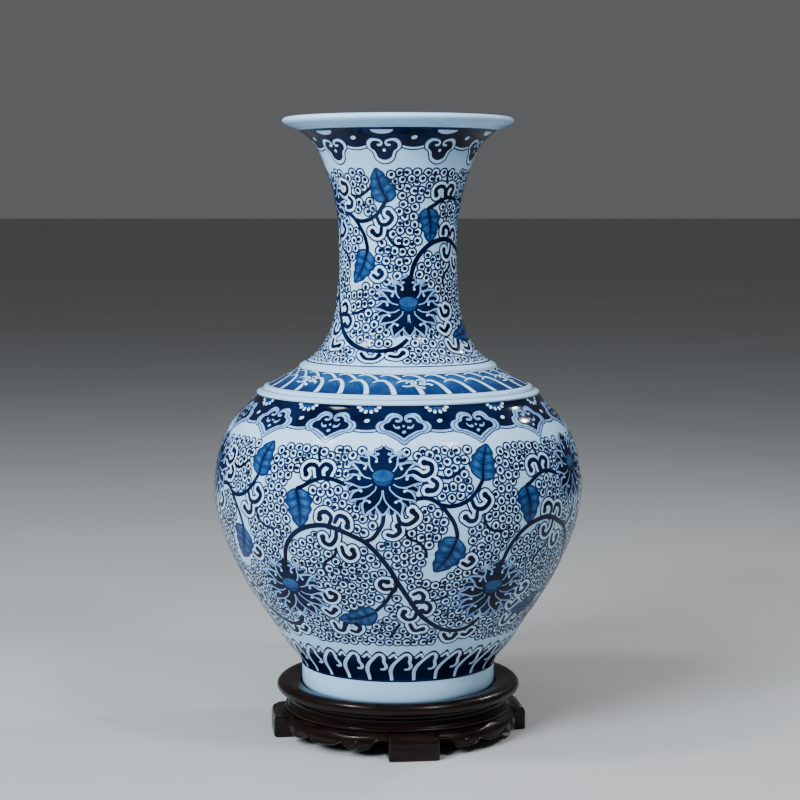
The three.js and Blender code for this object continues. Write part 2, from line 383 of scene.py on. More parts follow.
# The lotus in full face, right half, in millimetres round its heart. Each petal has its
# edge, its middle, the pale line along its lower side and the pale line that ends in a curl.
CROWN = [
    (0, 21.6), (1.2, 19.7), (5.2, 18), (3.8, 16.2), (2.7, 15), (5.6, 14.2), (8.4, 14.4),
    (11.6, 16), (9.9, 12), (9.4, 8.6), (7.6, 5.2), (6, 0), (0, -5),
]
PETALS = [
    ([(5, 2), (10.2, 7.2), (13.6, 8.9), (17, 9.6), (21.4, 9.6), (18.4, 6.6), (16.2, 3.8),
      (14, 1.1), (11.6, -0.4), (8.1, -1.3)],
     (13.5, 4.6),
     [(8, -1.2), (11.7, -0.4), (14.2, 1.1), (16.5, 4.2), (18.8, 6.9), (21.4, 9), (24.6, 8)],
     [(24, 9), (20.8, 10), (16.6, 9.8), (13.4, 9.2), (11.6, 7.6), (12.6, 5.8)]),
    ([(7, -2.5), (15, -0.6), (19.1, 1.2), (22, -1.2), (26, -3.6), (20.8, -5.2),
      (17.8, -6.4), (14.4, -7.1), (11, -6.9), (7, -5.6)],
     (15.5, -3.2),
     [(7.2, -4.9), (10.6, -6.7), (14.4, -7.2), (17.8, -6.5), (21, -5.2), (24, -4.5),
      (26.6, -4.4)],
     [(26.2, -2.9), (22.6, -1.2), (20.9, 0.6), (19.1, 1.4), (17.3, 0.8), (16.4, -1.3)]),
    ([(5, -6.5), (14, -8.2), (18, -9.4), (20.6, -11.9), (22, -16), (16.2, -15.2),
      (13.2, -14.4), (9.8, -12.9), (7.2, -10.8)],
     (13.5, -11.2),
     [(4.6, -6.2), (5, -8.6), (7.2, -10.9), (9.8, -13), (13.2, -14.5), (16.4, -15.2),
      (19.6, -15.6), (22.6, -16.8)],
     [(22.4, -15.2), (21, -12), (19.1, -10), (17, -9.1), (14.9, -9.6)]),
    ([(1, -8.5), (8, -12.5), (12, -16.2), (13.8, -19.4), (13.2, -22), (11.6, -25.6),
      (7.3, -22), (4.7, -19.8), (2.2, -16.8), (0.8, -13.3)],
     (7.4, -17.2),
     [(0.3, -9), (0.7, -13.3), (2.2, -16.8), (4.7, -19.8), (7.3, -22), (10.2, -24.2),
      (12, -26.8)],
     [(12.8, -25), (13.5, -21.9), (13.9, -19.2), (13, -17), (11, -16), (9, -17)]),
]
# Dark teeth that show between the petals.
TEETH = [
    [(9.5, 11.5), (13, 11.6), (16.6, 13.6)], [(17, 2.6), (20.6, 3.8), (24.2, 2.2)],
    [(17, -7), (21.2, -7.8), (24, -9.8)], [(13.4, -15.6), (16.8, -17.2), (17.6, -20.4)],
    [(4.6, -20), (6.4, -23), (5.8, -26)],
]
CROWN_LINES = [
    [(6.9, 3.8), (8.9, 6.6), (9.7, 9.6), (9.9, 13.2), (11, 15.6)],
    [(12.4, 16.3), (8.4, 15.2), (5.9, 14.1), (4.4, 12.6), (4.7, 10.7)],
]


def flower(zone, origin, scale):
    """A lotus in full face: dark petals in pale outlines round a blue heart, with a crown."""

    def local(points, side):
        return np.array(points) * (side * scale, scale)

    def leafy(curve, middle, raised=0.0):
        closed = spline(curve, 4, closed=True)
        loop(zone, "line", origin, closed, 3.9 * scale, LINE)
        loop(zone, "pale", origin, closed, 2.3 * scale, HALO)
        loop(zone, "navy", origin, closed, 0.9 * scale, FILL + raised - 0.003)
        blob(zone, "navy", origin, closed, FILL + raised, centre=middle)
        keep_clear(from_local(origin, closed[::3]), 4.4)

    def swelling(points, side, thin, thick, lift):
        """A pale line that swells from thin to thick; gives its last place."""
        path = drawn(origin, local(points, side))
        stroke(zone, "pale", path, np.linspace(thin, thick, len(path)) * scale, lift)
        return path[-1]

    blob(zone, "navy", from_local(origin, (0, -2.5 * scale)), oval(15.5 * scale, 13.5 * scale, 28),
         FILL - 0.012)
    leafy(local(whole(CROWN), 1), (0, 9 * scale), 0.006)
    for side in (-1, 1):
        for edge, middle, _, _ in PETALS:
            leafy(local(edge, side), local([middle], side)[0])
        for tooth in TEETH:
            path = drawn(origin, local(tooth, side), 5, 0.9)
            stroke(zone, "line", path, 5.4 * scale, LINE, ends=(1, 0.35))
            stroke(zone, "pale", path, 4.0 * scale, HALO + 0.006, ends=(1, 0.3))
            stroke(zone, "navy", path, 3.0 * scale, FILL - 0.006, ends=(1, 0.1))
        for _, _, line, curl in PETALS:
            swelling(line, side, 0.75, 1.1, PALE)
            end = swelling(curl, side, 0.9, 1.4, PALE + 0.004)
            dot(zone, "halo", end, 0.95 * scale, 0.95 * scale, PALE + 0.008, count=9)
        for curve in CROWN_LINES:
            end = swelling(curve, side, 0.9, 1.3, PALE + 0.012)
        dot(zone, "halo", end, 0.95 * scale, 0.95 * scale, PALE + 0.016, count=9)
        lobe = drawn(origin, local([(8, 16), (11, 17.4), (14.8, 16.8)], side))
        stroke(zone, "pale", lobe, 2.2 * scale, HALO + 0.012, ends=(0.2, 0.1))
        tuft = from_local(origin, local([(2.9, 15.6), (4.0, 16.5), (4.6, 15.6)], side))
        stroke(zone, "pale", tuft, 1.3 * scale, PALE)
    cup = [(-4.6, -20.4), (-2.9, -23.2), (0, -25.8), (2.9, -23.2), (4.6, -20.4)]
    cup = spline(local(cup, 1), 5)
    stalk = local([(0.6, -10), (-0.6, -10), (-4.6, -20.4)], 1)
    blob(zone, "navy", origin, np.vstack([cup, stalk]), FILL - 0.004, centre=(0, -19 * scale))
    stroke(zone, "pale", from_local(origin, even(cup, 0.8)), 1.2 * scale, PALE)
    heart = from_local(origin, (0, -1.2 * scale))
    dot(zone, "wash", heart, 6.4 * scale, 4.9 * scale, TOP, tone=0.25, count=24)
    heart = from_local(origin, (0, 0.9 * scale))
    dot(zone, "line", heart, 7.4 * scale, 4.4 * scale, TOP + 0.006, count=24)
    dot(zone, "wash", heart, 7.0 * scale, 4.0 * scale, TOP + 0.012, tone=0.55, count=24)


# ---- the lotus scroll

# One repeat, as (share of the repeat's angle, share of the field's height). The upper flower
# is at 0 and the lower one about half-way between two upper ones.
UPPER_FLOWER = (0.0, 0.865)
LOWER_FLOWER = (-0.475, 0.328)
MAIN_VINE = [
    (-0.462, 0.45), (-0.447, 0.51), (-0.42, 0.558), (-0.378, 0.602), (-0.32, 0.633),
    (-0.244, 0.645), (-0.187, 0.631), (-0.127, 0.604), (-0.077, 0.577), (-0.036, 0.535),
    (0.002, 0.482), (0.031, 0.434), (0.062, 0.37), (0.117, 0.275), (0.17, 0.193),
    (0.239, 0.132), (0.316, 0.09), (0.399, 0.078), (0.465, 0.096), (0.515, 0.145),
]
STEMS = [
    [(0.005, 0.715), (0, 0.665), (-0.017, 0.629), (-0.043, 0.593), (-0.077, 0.577)],
    [(-0.15, 0.828), (-0.206, 0.849), (-0.25, 0.853), (-0.3, 0.836), (-0.342, 0.811),
     (-0.373, 0.797)],
    [(0.062, 0.37), (0.033, 0.321), (0.002, 0.266), (-0.05, 0.212)],
    [(0.11, 0.765), (0.167, 0.774), (0.206, 0.761), (0.237, 0.734), (0.265, 0.696), (0.287, 0.66),
     (0.301, 0.616), (0.305, 0.585)],
    [(0.232, 0.742), (0.27, 0.734), (0.316, 0.742), (0.356, 0.763), (0.387, 0.797), (0.418, 0.845)],
]
# Leaves: stem end, tip, width in millimetres.
LEAVES = [
    ((-0.373, 0.8), (-0.352, 0.628), 20), ((-0.045, 0.205), (-0.25, 0.152), 16),
    ((0.303, 0.59), (0.222, 0.43), 21), ((0.418, 0.84), (0.46, 1), 19),
]
# On the neck the leaves are slimmer, and the top one leans the other way.
NECK_LEAVES = [(stem, tip, width) for (stem, tip, _), width in zip(LEAVES, (16, 14, 16.5))]
NECK_LEAVES.append(((0.428, 0.83), (0.37, 1.0), 17))
HOOKS = [
    [(-0.275, 0.862), (-0.285, 0.902), (-0.316, 0.908), (-0.337, 0.889), (-0.33, 0.866)],
    [(-0.262, 0.855), (-0.268, 0.889), (-0.246, 0.914), (-0.218, 0.9), (-0.23, 0.874)],
    [(-0.218, 0.655), (-0.21, 0.684), (-0.232, 0.706), (-0.258, 0.698), (-0.26, 0.675)],
    [(-0.195, 0.662), (-0.18, 0.69), (-0.155, 0.687), (-0.141, 0.667), (-0.143, 0.644)],
    [(-0.191, 0.618), (-0.196, 0.585), (-0.22, 0.556), (-0.248, 0.566), (-0.252, 0.59)],
    [(-0.172, 0.548), (-0.165, 0.514), (-0.143, 0.495), (-0.12, 0.511), (-0.127, 0.535)],
    [(0.029, 0.342), (-0.002, 0.338), (-0.02, 0.36), (-0.01, 0.382), (0.014, 0.378)],
    [(-0.298, 0.3), (-0.284, 0.262), (-0.25, 0.266), (-0.236, 0.294), (-0.26, 0.304)],
    [(-0.315, 0.2), (-0.289, 0.182), (-0.26, 0.208)],
    [(-0.292, 0.122), (-0.282, 0.086), (-0.25, 0.08), (-0.226, 0.122)],
    [(-0.2, 0.084), (-0.17, 0.076), (-0.146, 0.103), (-0.162, 0.126)],
    [(0.136, 0.885), (0.165, 0.868), (0.197, 0.885), (0.198, 0.918), (0.17, 0.928)],
    [(0.2, 0.854), (0.22, 0.834), (0.208, 0.808), (0.18, 0.806)],
    [(0.361, 0.758), (0.378, 0.722), (0.414, 0.718), (0.442, 0.75), (0.422, 0.776)],
    [(0.385, 0.702), (0.38, 0.671), (0.356, 0.664), (0.335, 0.683)],
    [(0.06, 0.7), (0.07, 0.667), (0.103, 0.66), (0.137, 0.69), (0.118, 0.717)],
    [(0.02, 0.612), (0.045, 0.606), (0.068, 0.627), (0.06, 0.652)],
    [(0.34, 0.466), (0.366, 0.452), (0.39, 0.474), (0.374, 0.488)],
    [(0.134, 0.31), (0.16, 0.32), (0.181, 0.296), (0.172, 0.27), (0.148, 0.266)],
    [(0.17, 0.262), (0.198, 0.262), (0.22, 0.232), (0.206, 0.202), (0.178, 0.214)],
    [(0.153, 0.205), (0.143, 0.17), (0.11, 0.162), (0.084, 0.187), (0.092, 0.21)],
    [(0.124, 0.132), (0.15, 0.092), (0.194, 0.1)],
    [(0.322, 0.062), (0.35, 0.03), (0.384, 0.03), (0.398, 0.052)],
    [(0.44, 0.05), (0.47, 0.044), (0.492, 0.068)],
]
TICKS = [
    [(-0.2, 0.545), (-0.208, 0.505), (-0.25, 0.472), (-0.266, 0.44), (-0.26, 0.405)],
    [(-0.28, 0.995), (-0.284, 0.962), (-0.27, 0.92)],
    [(0.213, 0.872), (0.263, 0.857), (0.304, 0.876), (0.342, 0.905)],
    [(0.418, 0.7), (0.422, 0.655), (0.457, 0.616), (0.509, 0.606)],
    [(0.091, 0.645), (0.1, 0.6), (0.148, 0.572), (0.175, 0.535), (0.18, 0.5)],
    [(0.21, 0.268), (0.255, 0.277), (0.3, 0.296)],
    [(0.075, 0.14), (0.05, 0.1), (0.014, 0.044)],
]
# Ringed berries: (nearest neighbour, radius), first the large ones and then the small.
BERRY_SIZES = [(5.4, 3.3), (4.75, 2.9)]


def berries(low, high, pitch, start):
    """Spots for ringed berries, laid from the edges of the free spaces inwards."""
    marks = np.array(clear)
    found = []
    for s in np.arange(low, high, 0.9):
        r = radius_at(s)
        theta = start + np.arange(0, pitch * r, 0.9) / r
        turn = (marks[None, :, 0] - theta[:, None] + pitch / 2) % pitch - pitch / 2
        gap = np.hypot(turn * r, marks[None, :, 1] - s) - marks[None, :, 2]
        gap = np.minimum(gap.min(axis=1), min(s - low, high - s))
        found += [(gap[i], theta[i], s) for i in np.flatnonzero(gap >= 0)]
    found.sort(key=lambda spot: spot[0] + rng.uniform(0, 0.7))
    taken = np.zeros((len(found), 3))
    count = 0
    for reach, size in BERRY_SIZES:
        for _, theta, s in found:
            turn = (taken[:count, 0] - theta + pitch / 2) % pitch - pitch / 2
            apart = np.hypot(turn * radius_at(s), taken[:count, 1] - s)
            if count == 0 or apart.min() > reach:
                taken[count] = theta, s, size + rng.uniform(-0.15, 0.2)
                count += 1
    return [(*spot, rng.uniform(0, TAU)) for spot in taken[:count]]


def draw_berry(zone, spot, turn):
    """A ring round a bare middle with a dark eye; rings of different heights overlap."""
    theta, s, radius, spin = spot
    origin = (theta + turn, s)
    lift = RING + 0.014 * int(s % 12 / 2)
    dot(zone, "halo", origin, radius, radius, lift)
    loop(zone, "line", origin, oval(radius, radius, 14), 1.25, lift + 0.007)
    off = from_local(origin, (0.4 * math.cos(spin), 0.4 * math.sin(spin)))
    dot(zone, "navy", off, 1.8, 1.5, RING + 0.1, spin, count=8)


def scroll(zone, repeats, first, low, high, scale, leaves):
    """The lotus scroll over a field of the vase, low to high along the outline."""
    pitch = TAU / repeats
    clear.clear()

    def unit(points, turn):
        p = np.atleast_2d(points)
        return joined(first + turn + p[:, 0] * pitch, low + p[:, 1] * (high - low))

    for index in range(repeats):
        turn = index * pitch
        vine(zone, unit(spline(MAIN_VINE, 6), turn), 3.6, 5.7)
        for stem in STEMS:
            vine(zone, unit(spline(stem, 6), turn), 3.0, 5.3)
        for curl in HOOKS:
            hook(zone, unit(spline(curl, 6), turn), 3.4 * scale)
        for tick in TICKS:
            path = even_on_vase(unit(spline(tick, 6), turn), 1.4)
            stroke(zone, "navy", path, 2.1, FILL, ends=(0.3, 0.9))
            keep_clear(path, 3.7)
        for base, tip, width in leaves:
            leaf(zone, *unit([base, tip], turn), width)
        for place in (UPPER_FLOWER, LOWER_FLOWER):
            flower(zone, unit(place, turn)[0], scale)
        if index == 0:
            marks = len(clear)
    del clear[marks:]
    spots = berries(low + 2.5, high - 2.5, pitch, first)
    for index in range(repeats):
        for spot in spots:
            draw_berry(zone, spot, index * pitch)


# ---- the borders

def edging(zone, colour, lower, margin, gap):
    """A light margin and a fine line under a band's waved lower edge."""
    girdle(zone, colour, lambda a: lower(a) - margin, lambda a: lower(a) + 0.1, WASH, rows=2)
    girdle(zone, "line", lambda a: lower(a) - 2.5, lambda a: lower(a) - gap, WASH, rows=2)


# Outer edge of a ruyi head, right half, about its widest level.
RUYI_HALF = [
    (0, 8), (2.4, 9.6), (4.8, 11.4), (8.2, 11.8), (11.4, 9.4), (13.4, 5.4), (17.2, 3.6),
    (19.2, -0.6), (17, -4.6), (12.6, -5.6), (8.2, -8.2), (4, -11), (0, -14.2),
]


def ruyi_band():
    """Deep blue band under the shoulder with fourteen cloud heads across its lower edge."""
    zone, count, first = "shoulder", 14, math.radians(1.9)
    top, edge, level = run_to(255.6), run_to(241.0), run_to(242.2)
    pitch = TAU / count

    def lower(theta):
        return edge - 1.6 + 4.4 * (np.cos((theta - first) / pitch * TAU) + 1) / 2

    girdle(zone, "navy", lower, top, WASH)
    edging(zone, "pale", lower, 1.6, 1.5)
    head = spline(whole(RUYI_HALF), 6, closed=True)
    inner = head * (0.73, 0.68) + (0, 0.2)
    for k in range(count):
        origin = (first + k * pitch, level)
        loop(zone, "line", origin, head, 1.6, LINE)
        blob(zone, "pale", origin, head, HALO)
        loop(zone, "line", origin, head * (0.87, 0.845), 0.7, LEAF)
        blob(zone, "navy", origin, inner, FILL)
        notch = drawn(origin, [(0, 11), (0, 8.5), (0, 5)], 4, 0.9)
        stroke(zone, "navy", notch, np.linspace(5.4, 3.4, len(notch)), FILL + 0.004)
        for side in (-1, 1):
            curl = [(8.2, 10.6), (5.2, 10.5), (2.4, 9.2), (1.5, 6.6), (2.9, 4.6), (4.6, 4.9)]
            path = drawn(origin, np.array(curl) * (side, 1), 6, 0.9)
            stroke(zone, "pale", path, np.linspace(2.3, 1.7, len(path)), PALE)
            dot(zone, "pale", path[-1], 1.15, 1.15, PALE + 0.004, count=9)
            stroke(zone, "line", path[2:-2], 0.45, PALE + 0.008)
            comma = [(2.6, -0.6), (4.6, -1.2), (6.2, -0.2), (7.0, 1.8)]
            path = drawn(origin, np.array(comma) * (side, 1), 6, 0.8)
            stroke(zone, "pale", path, np.linspace(2.2, 0.5, len(path)), PALE)
        dot(zone, "pale", from_local(origin, (0, 0.4)), 0.9, 0.9, PALE)
        dot(zone, "pale", from_local(origin, (0.2, -4.6)), 1.5, 1.1, PALE, 0.5)
        middle = (origin[0] + pitch / 2, top)
        blob(zone, "wash", middle, oval(6, 4.2, 13, math.pi), HALO + 0.02, 0.3)
        for j in range(6):
            lean = math.pi * (1.07 + 0.86 * j / 5)
            spot = from_local(middle, (7.2 * math.cos(lean), 5.0 * math.sin(lean) - 0.4))
            dot(zone, "halo", spot, 1.6, 1.25, FILL + 0.002 * j, lean)
        dot(zone, "halo", from_local(middle, (0, -13.2)), 2.0, 1.5, LINE, 0.4)


# Curls of foam on the waves, in millimetres round the middle of each group.
FOAM = [
    [(-6, -1), (-3.4, 2.2), (0.4, 1.8), (0.8, -1), (-1.4, -1.6)],
    [(1.6, 3), (4.6, 4), (7.4, 2.4), (6.8, 0), (4.8, 0.2)],
    [(-9, -4), (-5, -4.6), (-1, -3.4), (2.4, -5.2), (6, -6.6)],
    [(3, -1.6), (6, -2.6), (9.4, -1.4), (12, -3)],
]


def wave_band():
    """Two staggered rows of waves on the shoulder, with six groups of foam."""
    zone, count, groups = "shoulder", 30, 6
    low, high = run_to(262.2), run_to(274.2)
    pitch = TAU / count
    girdle(zone, "wash", low, high, WASH, 0.55)
    girdle(zone, "line", low - 0.5, low + 0.2, WASH, rows=2)
    girdle(zone, "line", high - 0.2, high + 0.5, WASH, rows=2)
    tall = high - low
    lower_crest = spline([(-0.06, 0.62), (0.16, 0.72), (0.42, 0.72), (0.66, 0.55), (0.8, 0.3),
                          (0.88, 0)], 6)
    upper_crest = spline([(-0.3, 0.93), (0.0, 1.0), (0.34, 0.93), (0.62, 0.78), (0.78, 0.6)], 6)

    def crest(line, shares):
        return joined(turn + pitch * (line[:, 0] + shares), low + tall * line[:, 1])

    for k in range(count):
        turn = k * pitch
        path = crest(upper_crest, 0.5)
        path = path[path[:, 1] <= high]
        wide = np.linspace(0.8, 2.6, len(path))
        stroke(zone, "line", path, wide + 1.0, LINE)
        stroke(zone, "halo", path, wide, HALO)
        path = crest(lower_crest, 0)
        shade = np.linspace(0, 1, 6)[:, None]
        skin(zone, "wash").add(path[None, :, 0] + 0 * shade, low + (path[None, :, 1] - low) * shade,
                               LEAF, 0.15 + 0.45 * shade)
        wide = np.linspace(1.0, 4.0, len(path))
        stroke(zone, "line", path, wide + 1.2, FILL)
        stroke(zone, "halo", path, wide, PALE)
        stroke(zone, "line", path[4:], 0.5, FILL - 0.01, shift=-3.6)
    for k in range(groups):
        origin = (math.radians(8 + 360 / groups * k), low + 0.62 * tall)
        for curl in FOAM:
            path = drawn(origin, curl, 6, 0.8)
            wide = np.linspace(1.2, 2.0, len(path))
            stroke(zone, "line", path, wide + 1.3, PALE + 0.01)
            stroke(zone, "halo", path, wide, TOP)
            dot(zone, "halo", path[-1], 1.3, 1.3, TOP + 0.004, count=9)


# Outer edge of a trefoil head on the neck border, right half.
TREFOIL_HALF = [
    (0, 5.4), (2.4, 7.4), (5.6, 9), (9.6, 8.8), (12.3, 5.6), (11.8, 1.4), (9, -1),
    (7.6, -3.4), (6.2, -7.4), (3.2, -9.8), (0, -10.6),
]


def neck_border():
    """Deep blue band under the lip with nine trefoil heads."""
    zone, count, first = "neck", 9, math.radians(-9.6)
    pitch = TAU / count
    top, edge, level = run_to(448.0), run_to(437.4), run_to(433.2)

    def lower(theta):
        return edge + 2.4 * (np.cos((theta - first) / pitch * TAU) - 0.3)

    girdle(zone, "navy", lower, top - 1.6, WASH)
    girdle(zone, "line", top - 2.0, top + 0.6, WASH + 0.01, rows=3)
    edging(zone, "halo", lower, 1.5, 1.4)
    head = spline(whole(TREFOIL_HALF), 6, closed=True)
    for k in range(count):
        origin = (first + k * pitch, level)
        loop(zone, "line", origin, head, 2.0, LINE)
        blob(zone, "halo", origin, head, HALO)
        blob(zone, "navy", origin, head * (0.81, 0.77), FILL)
        notch = drawn(origin, [(0, 7.6), (0, 5.5), (0, 3.4)], 4, 0.9)
        stroke(zone, "navy", notch, 2.4, FILL + 0.004)
        for side in (-1, 1):
            curl = [(5.4, 7.9), (3.0, 7.4), (1.5, 5.4), (2.6, 3.4), (4.0, 3.6)]
            path = drawn(origin, np.array(curl) * (side, 1), 6, 0.8)
            stroke(zone, "halo", path, 1.6, PALE, ends=(0.9, 0.8))
            dot(zone, "halo", path[-1], 0.95, 0.95, PALE + 0.004, count=9)
        dot(zone, "halo", from_local(origin, (0, -0.6)), 1.2, 1.2, PALE)
        blob(zone, "halo", (origin[0], top - 1.9), oval(8.2, 4.6, 15, math.pi), FILL)
        between = (origin[0] + pitch / 2, run_to(441.6))
        dot(zone, "halo", between, 2.3, 1.7, FILL, 0.4)


def base_border():
    """Deep blue band above the foot, with pale arches that curl over and chevrons between."""
    zone, count, first = "base", 29, math.radians(-3.5)
    pitch = TAU / count
    low = 1.6
    peaks = spline([(0.28, 27.6), (0.38, 30), (0.48, 31.8), (0.58, 32.6), (0.7, 32),
                    (0.8, 29.8), (0.88, 27.6)], 4)
    peaks = np.vstack([(0.13, 33.2), peaks, (1.13, 33.2)])

    def edge(theta):
        turn = ((theta - first) / pitch - 0.13) % 1.0 + 0.13
        return np.interp(turn, peaks[:, 0], peaks[:, 1])

    girdle(zone, "navy", low, edge, WASH, step=0.5)
    girdle(zone, "line", -0.3, low + 0.3, WASH + 0.02, rows=2)
    arch = spline([(0, 1.8), (-0.03, 7.5), (-0.03, 11.5), (0.05, 16.8), (0.18, 21.2), (0.34, 25.2),
                   (0.46, 28), (0.57, 29.4), (0.69, 28.6), (0.745, 25.6), (0.73, 22.2), (0.75, 20),
                   (0.8, 17.2), (0.77, 14.4), (0.69, 13), (0.6, 13)], 6)
    weight = np.interp(np.linspace(0, 1, len(arch)), [0, 0.15, 0.3, 0.5, 0.6, 0.7, 0.85, 1],
                       [2.2, 3, 2.5, 2.4, 2.4, 2.4, 2.5, 2.0])
    chevron = spline([(-0.06, 25.8), (0.03, 27.6), (0.13, 29.4), (0.19, 27.6), (0.235, 25.8)], 4)
    for k in range(count):
        path = joined(first + pitch * (k + arch[:, 0]), arch[:, 1])
        stroke(zone, "halo", path, weight, HALO)
        dot(zone, "halo", path[-1], 1.2, 1.2, HALO + 0.004, count=9)
        path = joined(first + pitch * (k + chevron[:, 0]), chevron[:, 1])
        stroke(zone, "halo", path, 1.9, HALO + 0.004)


def grooves():
    """Painted shade: dark lines of glaze colour in the grooves beside the raised rings, where shade
    falls.
    """
    for height in (SHOULDER_RING_Z, SHOULDER_RING_Z + 4.0, SHOULDER_RING_Z - 4.0, COLLAR_Z - 3.1):
        middle = run_to(height)
        girdle("shoulder", "pool", middle - 0.4, middle + 0.4, RING, rows=3)


def paint_vase():
    grooves()
    base_border()
    scroll("belly", 5, math.radians(-4.4), low=39.0, high=195.7, scale=1.0, leaves=LEAVES)
    ruyi_band()
    wave_band()
    scroll("neck", 2, math.radians(-85), low=279.5, high=424.5, scale=0.93, leaves=NECK_LEAVES)
    girdle("neck", "line", 275.4, 276.8, WASH, rows=2)   # a fine ring under the neck's scroll
    neck_border()


# ---- materials

class Look:
    """One material: a Principled shader with constant settings, and the nodes that drive it."""

    def __init__(self, name, settings):
        self.mat = bpy.data.materials.new(name)
        self.mat.use_nodes = True
        self.nodes = self.mat.node_tree.nodes
        self.link = self.mat.node_tree.links.new
        self.inputs = self.nodes["Principled BSDF"].inputs
        for key, value in settings.items():
            self.inputs[key].default_value = value

    def noise(self, scale, detail=3.0, stretch=None):
        """Noise in the object's own metres; stretch scales the three axes."""
        where = self.nodes.new("ShaderNodeTexCoord").outputs["Object"]
        node = self.nodes.new("ShaderNodeTexNoise")
        node.inputs["Scale"].default_value = scale
        node.inputs["Detail"].default_value = detail
        if stretch:
            mapping = self.nodes.new("ShaderNodeMapping")
            mapping.inputs["Scale"].default_value = stretch
            self.link(where, mapping.inputs["Vector"])
            where = mapping.outputs["Vector"]
        self.link(where, node.inputs["Vector"])
        return node.outputs["Fac"]

    def ramp(self, target, value, *stops):
        """One of the shader's inputs goes through the stops' colours as the value rises."""
        node = self.nodes.new("ShaderNodeValToRGB")
        elements = node.color_ramp.elements
        for element, (place, colour) in zip(elements, (stops[0], stops[-1])):
            element.position = place
            element.color = (*colour, 1)
        for place, colour in stops[1:-1]:
            elements.new(place).color = (*colour, 1)
        self.link(value, node.inputs["Fac"])
        self.link(node.outputs["Color"], self.inputs[target])


# The clear glaze that lies over body and paint alike.
GLOSS = {"Roughness": 0.1, "IOR": 1.5, "Specular IOR Level": 0.12}


def glaze_material(name, low, high):
    look = Look(name, GLOSS)
    look.ramp("Base Color", look.noise(9.0, 4.0), (0.35, low), (0.65, high))
    return look.mat


def cobalt_material(name, thin, thick):
    """Cobalt that pools: noise moves it between a thin and a thick coat."""
    look = Look(name, GLOSS)
    look.ramp("Base Color", look.noise(45.0, 5.0), (0.38, thick), (0.64, thin))
    return look.mat


def wash_material(name):
    """Graded wash: the painted tone, broken up by a fine brush grain."""
    look = Look(name, GLOSS)
    tone = look.nodes.new("ShaderNodeAttribute")
    tone.attribute_name = "tone"
    grain = look.nodes.new("ShaderNodeMath")
    grain.operation = "MULTIPLY_ADD"
    look.link(look.noise(160.0, 4.0), grain.inputs[0])
    grain.inputs[1].default_value = 0.7
    grain.inputs[2].default_value = -0.35
    total = look.nodes.new("ShaderNodeMath")
    total.operation = "ADD"
    look.link(tone.outputs["Fac"], total.inputs[0])
    look.link(grain.outputs[0], total.inputs[1])
    look.ramp("Base Color", total.outputs[0], (0.0, (0.003, 0.013, 0.06)),
              (0.4, (0.008, 0.038, 0.13)), (0.75, (0.028, 0.1, 0.25)), (1, (0.11, 0.26, 0.45)))
    return look.mat


def lacquer_material():
    """Dark lacquered hardwood with a long faint grain."""
    look = Look("lacquered_wood", {"Specular IOR Level": 0.18, "Coat Weight": 0.06,
                                   "Coat Roughness": 0.1})
    grain = look.noise(60.0, 6.0, (1.0, 1.0, 9.0))
    look.ramp("Base Color", grain, (0.3, (0.002, 0.0012, 0.001)), (0.7, (0.01, 0.0045, 0.0035)))
    look.ramp("Roughness", look.noise(25.0, 4.0), (0.3, (0.2,) * 3), (0.7, (0.36,) * 3))
    bump = look.nodes.new("ShaderNodeBump")
    bump.inputs["Strength"].default_value = 0.25
    bump.inputs["Distance"].default_value = 0.0004
    look.link(grain, bump.inputs["Height"])
    look.link(bump.outputs["Normal"], look.inputs["Normal"])
    return look.mat


def dowel_material():
    look = Look("dowel_wood", {"Roughness": 0.6})
    grain = look.noise(80.0, 5.0, (1.0, 1.0, 0.15))
    look.ramp("Base Color", grain, (0.3, (0.1, 0.055, 0.03)), (0.7, (0.19, 0.11, 0.06)))
    return look.mat


def floor_material():
    look = Look("pale_floor", {"Roughness": 0.6})
    look.ramp("Base Color", look.noise(3.0), (0.3, (0.42,) * 3), (0.7, (0.45,) * 3))
    return look.mat


MATERIALS = {
    "halo": glaze_material("glaze_white_margin", (0.4, 0.6, 0.86), (0.46, 0.65, 0.89)),
    "line": cobalt_material("cobalt_line", (0.007, 0.021, 0.082), (0.003, 0.008, 0.036)),
    "navy": cobalt_material("cobalt_deep", (0.0035, 0.009, 0.038), (0.0012, 0.0032, 0.014)),
    "pale": cobalt_material("cobalt_pale", (0.24, 0.41, 0.7), (0.16, 0.3, 0.6)),
    "wash": wash_material("cobalt_wash"),
    # painted shade: a dark glaze colour for the grooves beside the raised rings
    "pool": glaze_material("painted_groove_shade", (0.09, 0.17, 0.25), (0.13, 0.23, 0.32)),
}
GLAZE = glaze_material("bluish_glaze", (0.34, 0.575, 0.82), (0.39, 0.615, 0.85))
LACQUER = lacquer_material()
DOWEL_WOOD = dowel_material()


# ---- the vase

